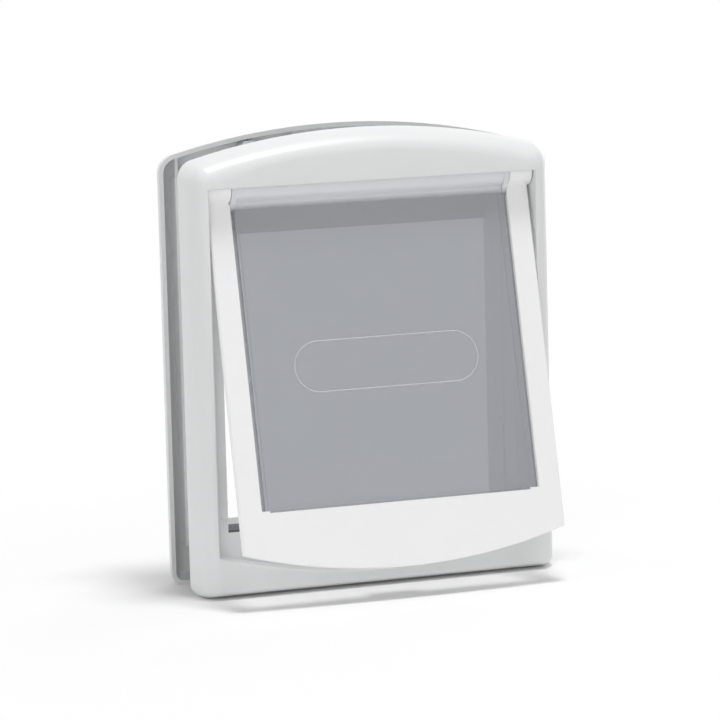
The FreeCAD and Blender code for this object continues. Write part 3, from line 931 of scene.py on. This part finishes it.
@dataclass
class FixingScrews:
    """Fixing screws with a rolled thread, a cross slot and a push-in cap over each head."""

    pitch: float = 0.0012
    thread: float = 0.00035
    thread_start: float = 0.0005
    thread_rest: float = 0.001
    thread_steps: int = 16
    thread_sides: int = 4
    slot_wide: float = 0.0009
    slot_long: float = 0.0038
    slot_deep: float = 0.0011
    head_edge: float = 0.0004
    head_sides: int = 40
    shank: float = 0.00175
    shank_sides: int = 24
    head_tall: float = 0.0022
    sharp_angle: float = 30.0
    cap_edge: float = 0.0002
    cap_dome: float = 0.0005
    cap_fall: float = 0.0012
    cap_steps: int = 6
    cap_flat: float = 0.55
    steel: BrightMetal = BrightMetal("screw_steel", colour=(0.66, 0.66, 0.65), roughness=0.26)
    cap: MouldedPlastic = MouldedPlastic("screw_cap", colour=FASCIA_WHITE, roughness=0.4)

    def build(self) -> None:
        """Makes the four screws and their caps."""
        steel = self.steel.build()
        white = self.cap.build()
        for corner in Corner:
            self.make_screw(corner, steel)
            self.make_cap(corner, white)

    def make_screw(self, corner: Corner, material: bpy.types.Material) -> None:
        """Makes one screw from nodes: shank, thread, head and cross slot.

        Args:
            corner: which screw.
            material: its finish.
        """
        node = "fixing_screw_" + corner.value
        low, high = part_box(node)
        head_radius = (high.x - low.x) / 2
        total = high.y - low.y
        threaded = total - self.head_tall - self.thread_rest
        tree = GeometryTree(node + "_tree")
        shank = tree.number("Shank radius", self.shank - self.thread)
        shank_long = tree.number("Shank length", total - self.head_tall / 2)
        ridge = tree.number("Thread height", self.thread)
        crest = tree.number("Thread middle", self.shank - self.thread)
        turned = tree.number("Thread length", threaded)
        turns = tree.number("Thread turns", threaded / self.pitch)
        head_r = tree.number("Head radius", head_radius)
        head_top_r = tree.number("Head top radius", head_radius - self.head_edge)
        head_h = tree.number("Head height", self.head_tall - self.head_edge)
        edge_h = tree.number("Head edge", self.head_edge)
        body = tree.add("GeometryNodeMeshCylinder", {"Radius": shank, "Depth": shank_long},
                        {"Vertices": self.shank_sides})
        body_up = tree.move(body.outputs["Mesh"], (0.0, 0.0, (total - self.head_tall / 2) / 2))
        coil = tree.add("GeometryNodeCurveSpiral", {"Rotations": turns, "Start Radius": crest,
                                                    "End Radius": crest, "Height": turned},
                        {"Resolution": self.thread_steps})
        section = tree.add("GeometryNodeCurvePrimitiveCircle", {"Radius": ridge},
                           {"Resolution": self.thread_sides})
        helix = tree.add("GeometryNodeCurveToMesh", {"Curve": coil.outputs["Curve"],
                                                     "Profile Curve": section.outputs["Curve"]},
                         {"Fill Caps": True})
        helix_up = tree.move(helix.outputs["Mesh"], (0.0, 0.0, self.thread_start))
        head = tree.add("GeometryNodeMeshCylinder", {"Radius": head_r, "Depth": head_h},
                        {"Vertices": self.head_sides})
        head_z = total - self.head_tall + (self.head_tall - self.head_edge) / 2
        head_up = tree.move(head.outputs["Mesh"], (0.0, 0.0, head_z))
        rim = tree.add("GeometryNodeMeshCone",
                       {"Radius Bottom": head_r, "Radius Top": head_top_r, "Depth": edge_h},
                       {"Vertices": self.head_sides})
        rim_up = tree.move(rim.outputs["Mesh"], (0.0, 0.0, total - self.head_edge))
        whole = tree.add("GeometryNodeMeshBoolean", {"Mesh": head_up}, operation="UNION")
        tree.tree.links.new(rim_up, whole.inputs["Mesh"])
        cut = tree.add("GeometryNodeMeshBoolean", {"Mesh 1": whole.outputs["Mesh"]},
                       operation="DIFFERENCE")
        for wide, long in ((self.slot_long, self.slot_wide), (self.slot_wide, self.slot_long)):
            bar = tree.add("GeometryNodeMeshCube",
                           values={"Size": (wide, long, self.slot_deep * 2)})
            bar_up = tree.move(bar.outputs["Mesh"], (0.0, 0.0, total))
            tree.tree.links.new(bar_up, cut.inputs["Mesh 2"])
        both = tree.add("GeometryNodeJoinGeometry")
        for part in (body_up, helix_up, cut.outputs["Mesh"]):
            tree.tree.links.new(part, both.inputs["Geometry"])
        seat = ((low.x + high.x) / 2, low.y, (low.z + high.z) / 2)
        laid = tree.move(both.outputs["Geometry"], seat, (-math.pi / 2, 0.0, 0.0))
        obj = tree.run(laid, material, "screw_" + corner.value)
        obj.data.shade_smooth()
        obj.data.set_sharp_from_angle(angle=math.radians(self.sharp_angle))
        place_piece(obj, Body.FRAME, Slot.SCREW, node)

    def make_cap(self, corner: Corner, material: bpy.types.Material) -> None:
        """Turns one push-in cap with a low domed face.

        Args:
            corner: which cap.
            material: its finish.
        """
        node = "screw_cap_" + corner.value
        low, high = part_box(node)
        radius = (high.x - low.x) / 2
        tall = high.y - low.y
        flat = tall - self.cap_dome
        profile = [(0.0, radius - self.cap_edge), (self.cap_edge, radius), (flat, radius)]
        for step in range(1, self.cap_steps + 1):
            angle = math.pi / 2 * step / (self.cap_steps + 1)
            profile.append((flat + self.cap_dome * math.sin(angle),
                            radius - self.cap_fall * (1 - math.cos(angle))))
        profile.append((tall, radius * self.cap_flat))
        start = Vector(((low.x + high.x) / 2, low.y, (low.z + high.z) / 2))
        obj = Turned("cap_" + corner.value, profile).build(start, Vector((0, 1, 0)), material)
        place_piece(obj, Body.FRAME, Slot.CAP, node)


@dataclass(frozen=True)
class Lamp:
    """A square soft lamp: its name, place, side in metres and power in watts."""

    name: str
    place: Axes
    size: float
    power: float


@dataclass
class Studio:
    """Pale floor, white surroundings, four soft lamps and the photograph's camera."""

    floor_size: float = 24.0
    floor_colour: Colour = (0.96, 0.96, 0.96)
    pool: float = 0.36
    pool_core: float = 0.35
    ambient: float = 0.52
    lamps: tuple[Lamp, ...] = (
        Lamp("key_lamp", (0.12, -0.2, 1.78), 0.4, 15.0),
        Lamp("front_left_fill", (-0.95, -1.55, 0.35), 0.6, 4.2),
        Lamp("rear_left_fill", (-1.15, 0.95, 0.42), 0.8, 1.6),
        Lamp("rear_right_fill", (1.15, 0.95, 0.42), 0.8, 3.0))
    lamp_aim: Axes = (0.0, 0.0, 0.12)
    camera_place: Axes = (-0.69386, -1.89785, 0.41552)
    camera_right: Axes = (0.94012, -0.34087, 0.0)
    camera_up: Axes = (0.04997, 0.13782, 0.98922)
    camera_roll: float = -1.48
    lens: float = 198.36
    sensor: float = 36.0
    nearest: float = 0.1
    farthest: float = 60.0

    def build(self) -> None:
        """Makes the world, floor, lamps and camera."""
        self.make_world()
        self.make_floor()
        for lamp in self.lamps:
            self.add_lamp(lamp)
        self.add_camera()
        bpy.context.scene.view_settings.view_transform = "Standard"

    def seen_directly(self, tree: bpy.types.NodeTree) -> bpy.types.NodeSocket:
        """Adds nodes that tell whether a ray comes from the camera, a gloss or a clear piece.

        Args:
            tree: the nodes of a material or the world.

        Returns:
            A socket that is 1 for such rays.
        """
        path = tree.nodes.new("ShaderNodeLightPath")
        joined = path.outputs["Is Camera Ray"]
        for name in ("Is Glossy Ray", "Is Transmission Ray"):
            larger = tree.nodes.new("ShaderNodeMath")
            larger.operation = "MAXIMUM"
            tree.links.new(joined, larger.inputs[0])
            tree.links.new(path.outputs[name], larger.inputs[1])
            joined = larger.outputs[0]
        return joined

    def make_world(self) -> None:
        """Makes the world: white where it is seen, and a plain soft light to everything else."""
        world = bpy.data.worlds.new("studio_world")
        world.use_nodes = True
        bpy.context.scene.world = world
        tree = world.node_tree
        tree.nodes.clear()
        output = tree.nodes.new("ShaderNodeOutputWorld")
        soft = tree.nodes.new("ShaderNodeBackground")
        soft.inputs["Color"].default_value = (1.0, 1.0, 1.0, 1.0)
        soft.inputs["Strength"].default_value = self.ambient
        white = tree.nodes.new("ShaderNodeBackground")
        white.inputs["Color"].default_value = (1.0, 1.0, 1.0, 1.0)
        white.inputs["Strength"].default_value = 1.0
        mix = tree.nodes.new("ShaderNodeMixShader")
        tree.links.new(self.seen_directly(tree), mix.inputs[0])
        tree.links.new(soft.outputs[0], mix.inputs[1])
        tree.links.new(white.outputs[0], mix.inputs[2])
        tree.links.new(mix.outputs[0], output.inputs["Surface"])

    def make_floor(self) -> None:
        """Makes the pale floor, which keeps the shadow near the object and runs out to white."""
        half = self.floor_size / 2
        mesh = bpy.data.meshes.new("floor")
        corners = [(-half, -half, 0), (half, -half, 0), (half, half, 0), (-half, half, 0)]
        mesh.from_pydata(corners, [], [(0, 1, 2, 3)])
        floor = link(bpy.data.objects.new("floor", mesh))
        material = bpy.data.materials.new("pale_floor")
        material.use_nodes = True
        tree = material.node_tree
        tree.nodes.clear()
        output = tree.nodes.new("ShaderNodeOutputMaterial")
        matt = tree.nodes.new("ShaderNodeBsdfDiffuse")
        matt.inputs["Color"].default_value = (*self.floor_colour, 1.0)
        white = tree.nodes.new("ShaderNodeEmission")
        white.inputs["Strength"].default_value = 1.0
        place = tree.nodes.new("ShaderNodeTexCoord")
        reach = tree.nodes.new("ShaderNodeVectorMath")
        reach.operation = "LENGTH"
        tree.links.new(place.outputs["Object"], reach.inputs[0])
        fade = tree.nodes.new("ShaderNodeMapRange")
        fade.interpolation_type = "SMOOTHSTEP"
        fade.inputs["From Min"].default_value = self.pool * self.pool_core
        fade.inputs["From Max"].default_value = self.pool
        tree.links.new(reach.outputs["Value"], fade.inputs["Value"])
        seen = tree.nodes.new("ShaderNodeMath")
        seen.operation = "MULTIPLY"
        tree.links.new(self.seen_directly(tree), seen.inputs[0])
        tree.links.new(fade.outputs["Result"], seen.inputs[1])
        mix = tree.nodes.new("ShaderNodeMixShader")
        tree.links.new(seen.outputs[0], mix.inputs[0])
        tree.links.new(matt.outputs[0], mix.inputs[1])
        tree.links.new(white.outputs[0], mix.inputs[2])
        tree.links.new(mix.outputs[0], output.inputs["Surface"])
        dress(floor, material)

    def add_lamp(self, lamp: Lamp) -> None:
        """Adds a lamp that faces the object.

        Args:
            lamp: what it is and where it hangs.
        """
        data = bpy.data.lights.new(lamp.name, "AREA")
        data.size = lamp.size
        data.energy = lamp.power
        obj = link(bpy.data.objects.new(lamp.name, data))
        place = Vector(lamp.place)
        obj.location = place
        aim = Vector(self.lamp_aim) - place
        obj.rotation_euler = aim.to_track_quat("-Z", "Y").to_euler()

    def add_camera(self) -> None:
        """Places the camera where the photograph was taken from."""
        data = bpy.data.cameras.new("photo_camera")
        data.lens = self.lens
        data.sensor_width = self.sensor
        data.sensor_fit = "HORIZONTAL"
        data.clip_start = self.nearest
        data.clip_end = self.farthest
        camera = link(bpy.data.objects.new("photo_camera", data))
        right = Vector(self.camera_right).normalized()
        up = Vector(self.camera_up).normalized()
        roll = math.radians(self.camera_roll)
        side = right * math.cos(roll) + up * math.sin(roll)
        top = up * math.cos(roll) - right * math.sin(roll)
        back = side.cross(top)
        turn = Matrix((side, top, back)).transposed().to_4x4()
        camera.matrix_world = Matrix.Translation(Vector(self.camera_place)) @ turn
        bpy.context.scene.camera = camera


def main() -> None:
    """Builds every sub-assembly, then the studio, and notes the sizes."""
    logging.basicConfig(level=logging.INFO, format="%(message)s")
    for part in (FasciaPair(), Surround(), ClearFlap(), LozengeLine(), BrushSeal(), MagnetSet(),
                 HingePins(), FixingScrews()):
        log.info("building %s", type(part).__name__)
        part.build()
    Studio().build()


if __name__ == "__main__":
    main()
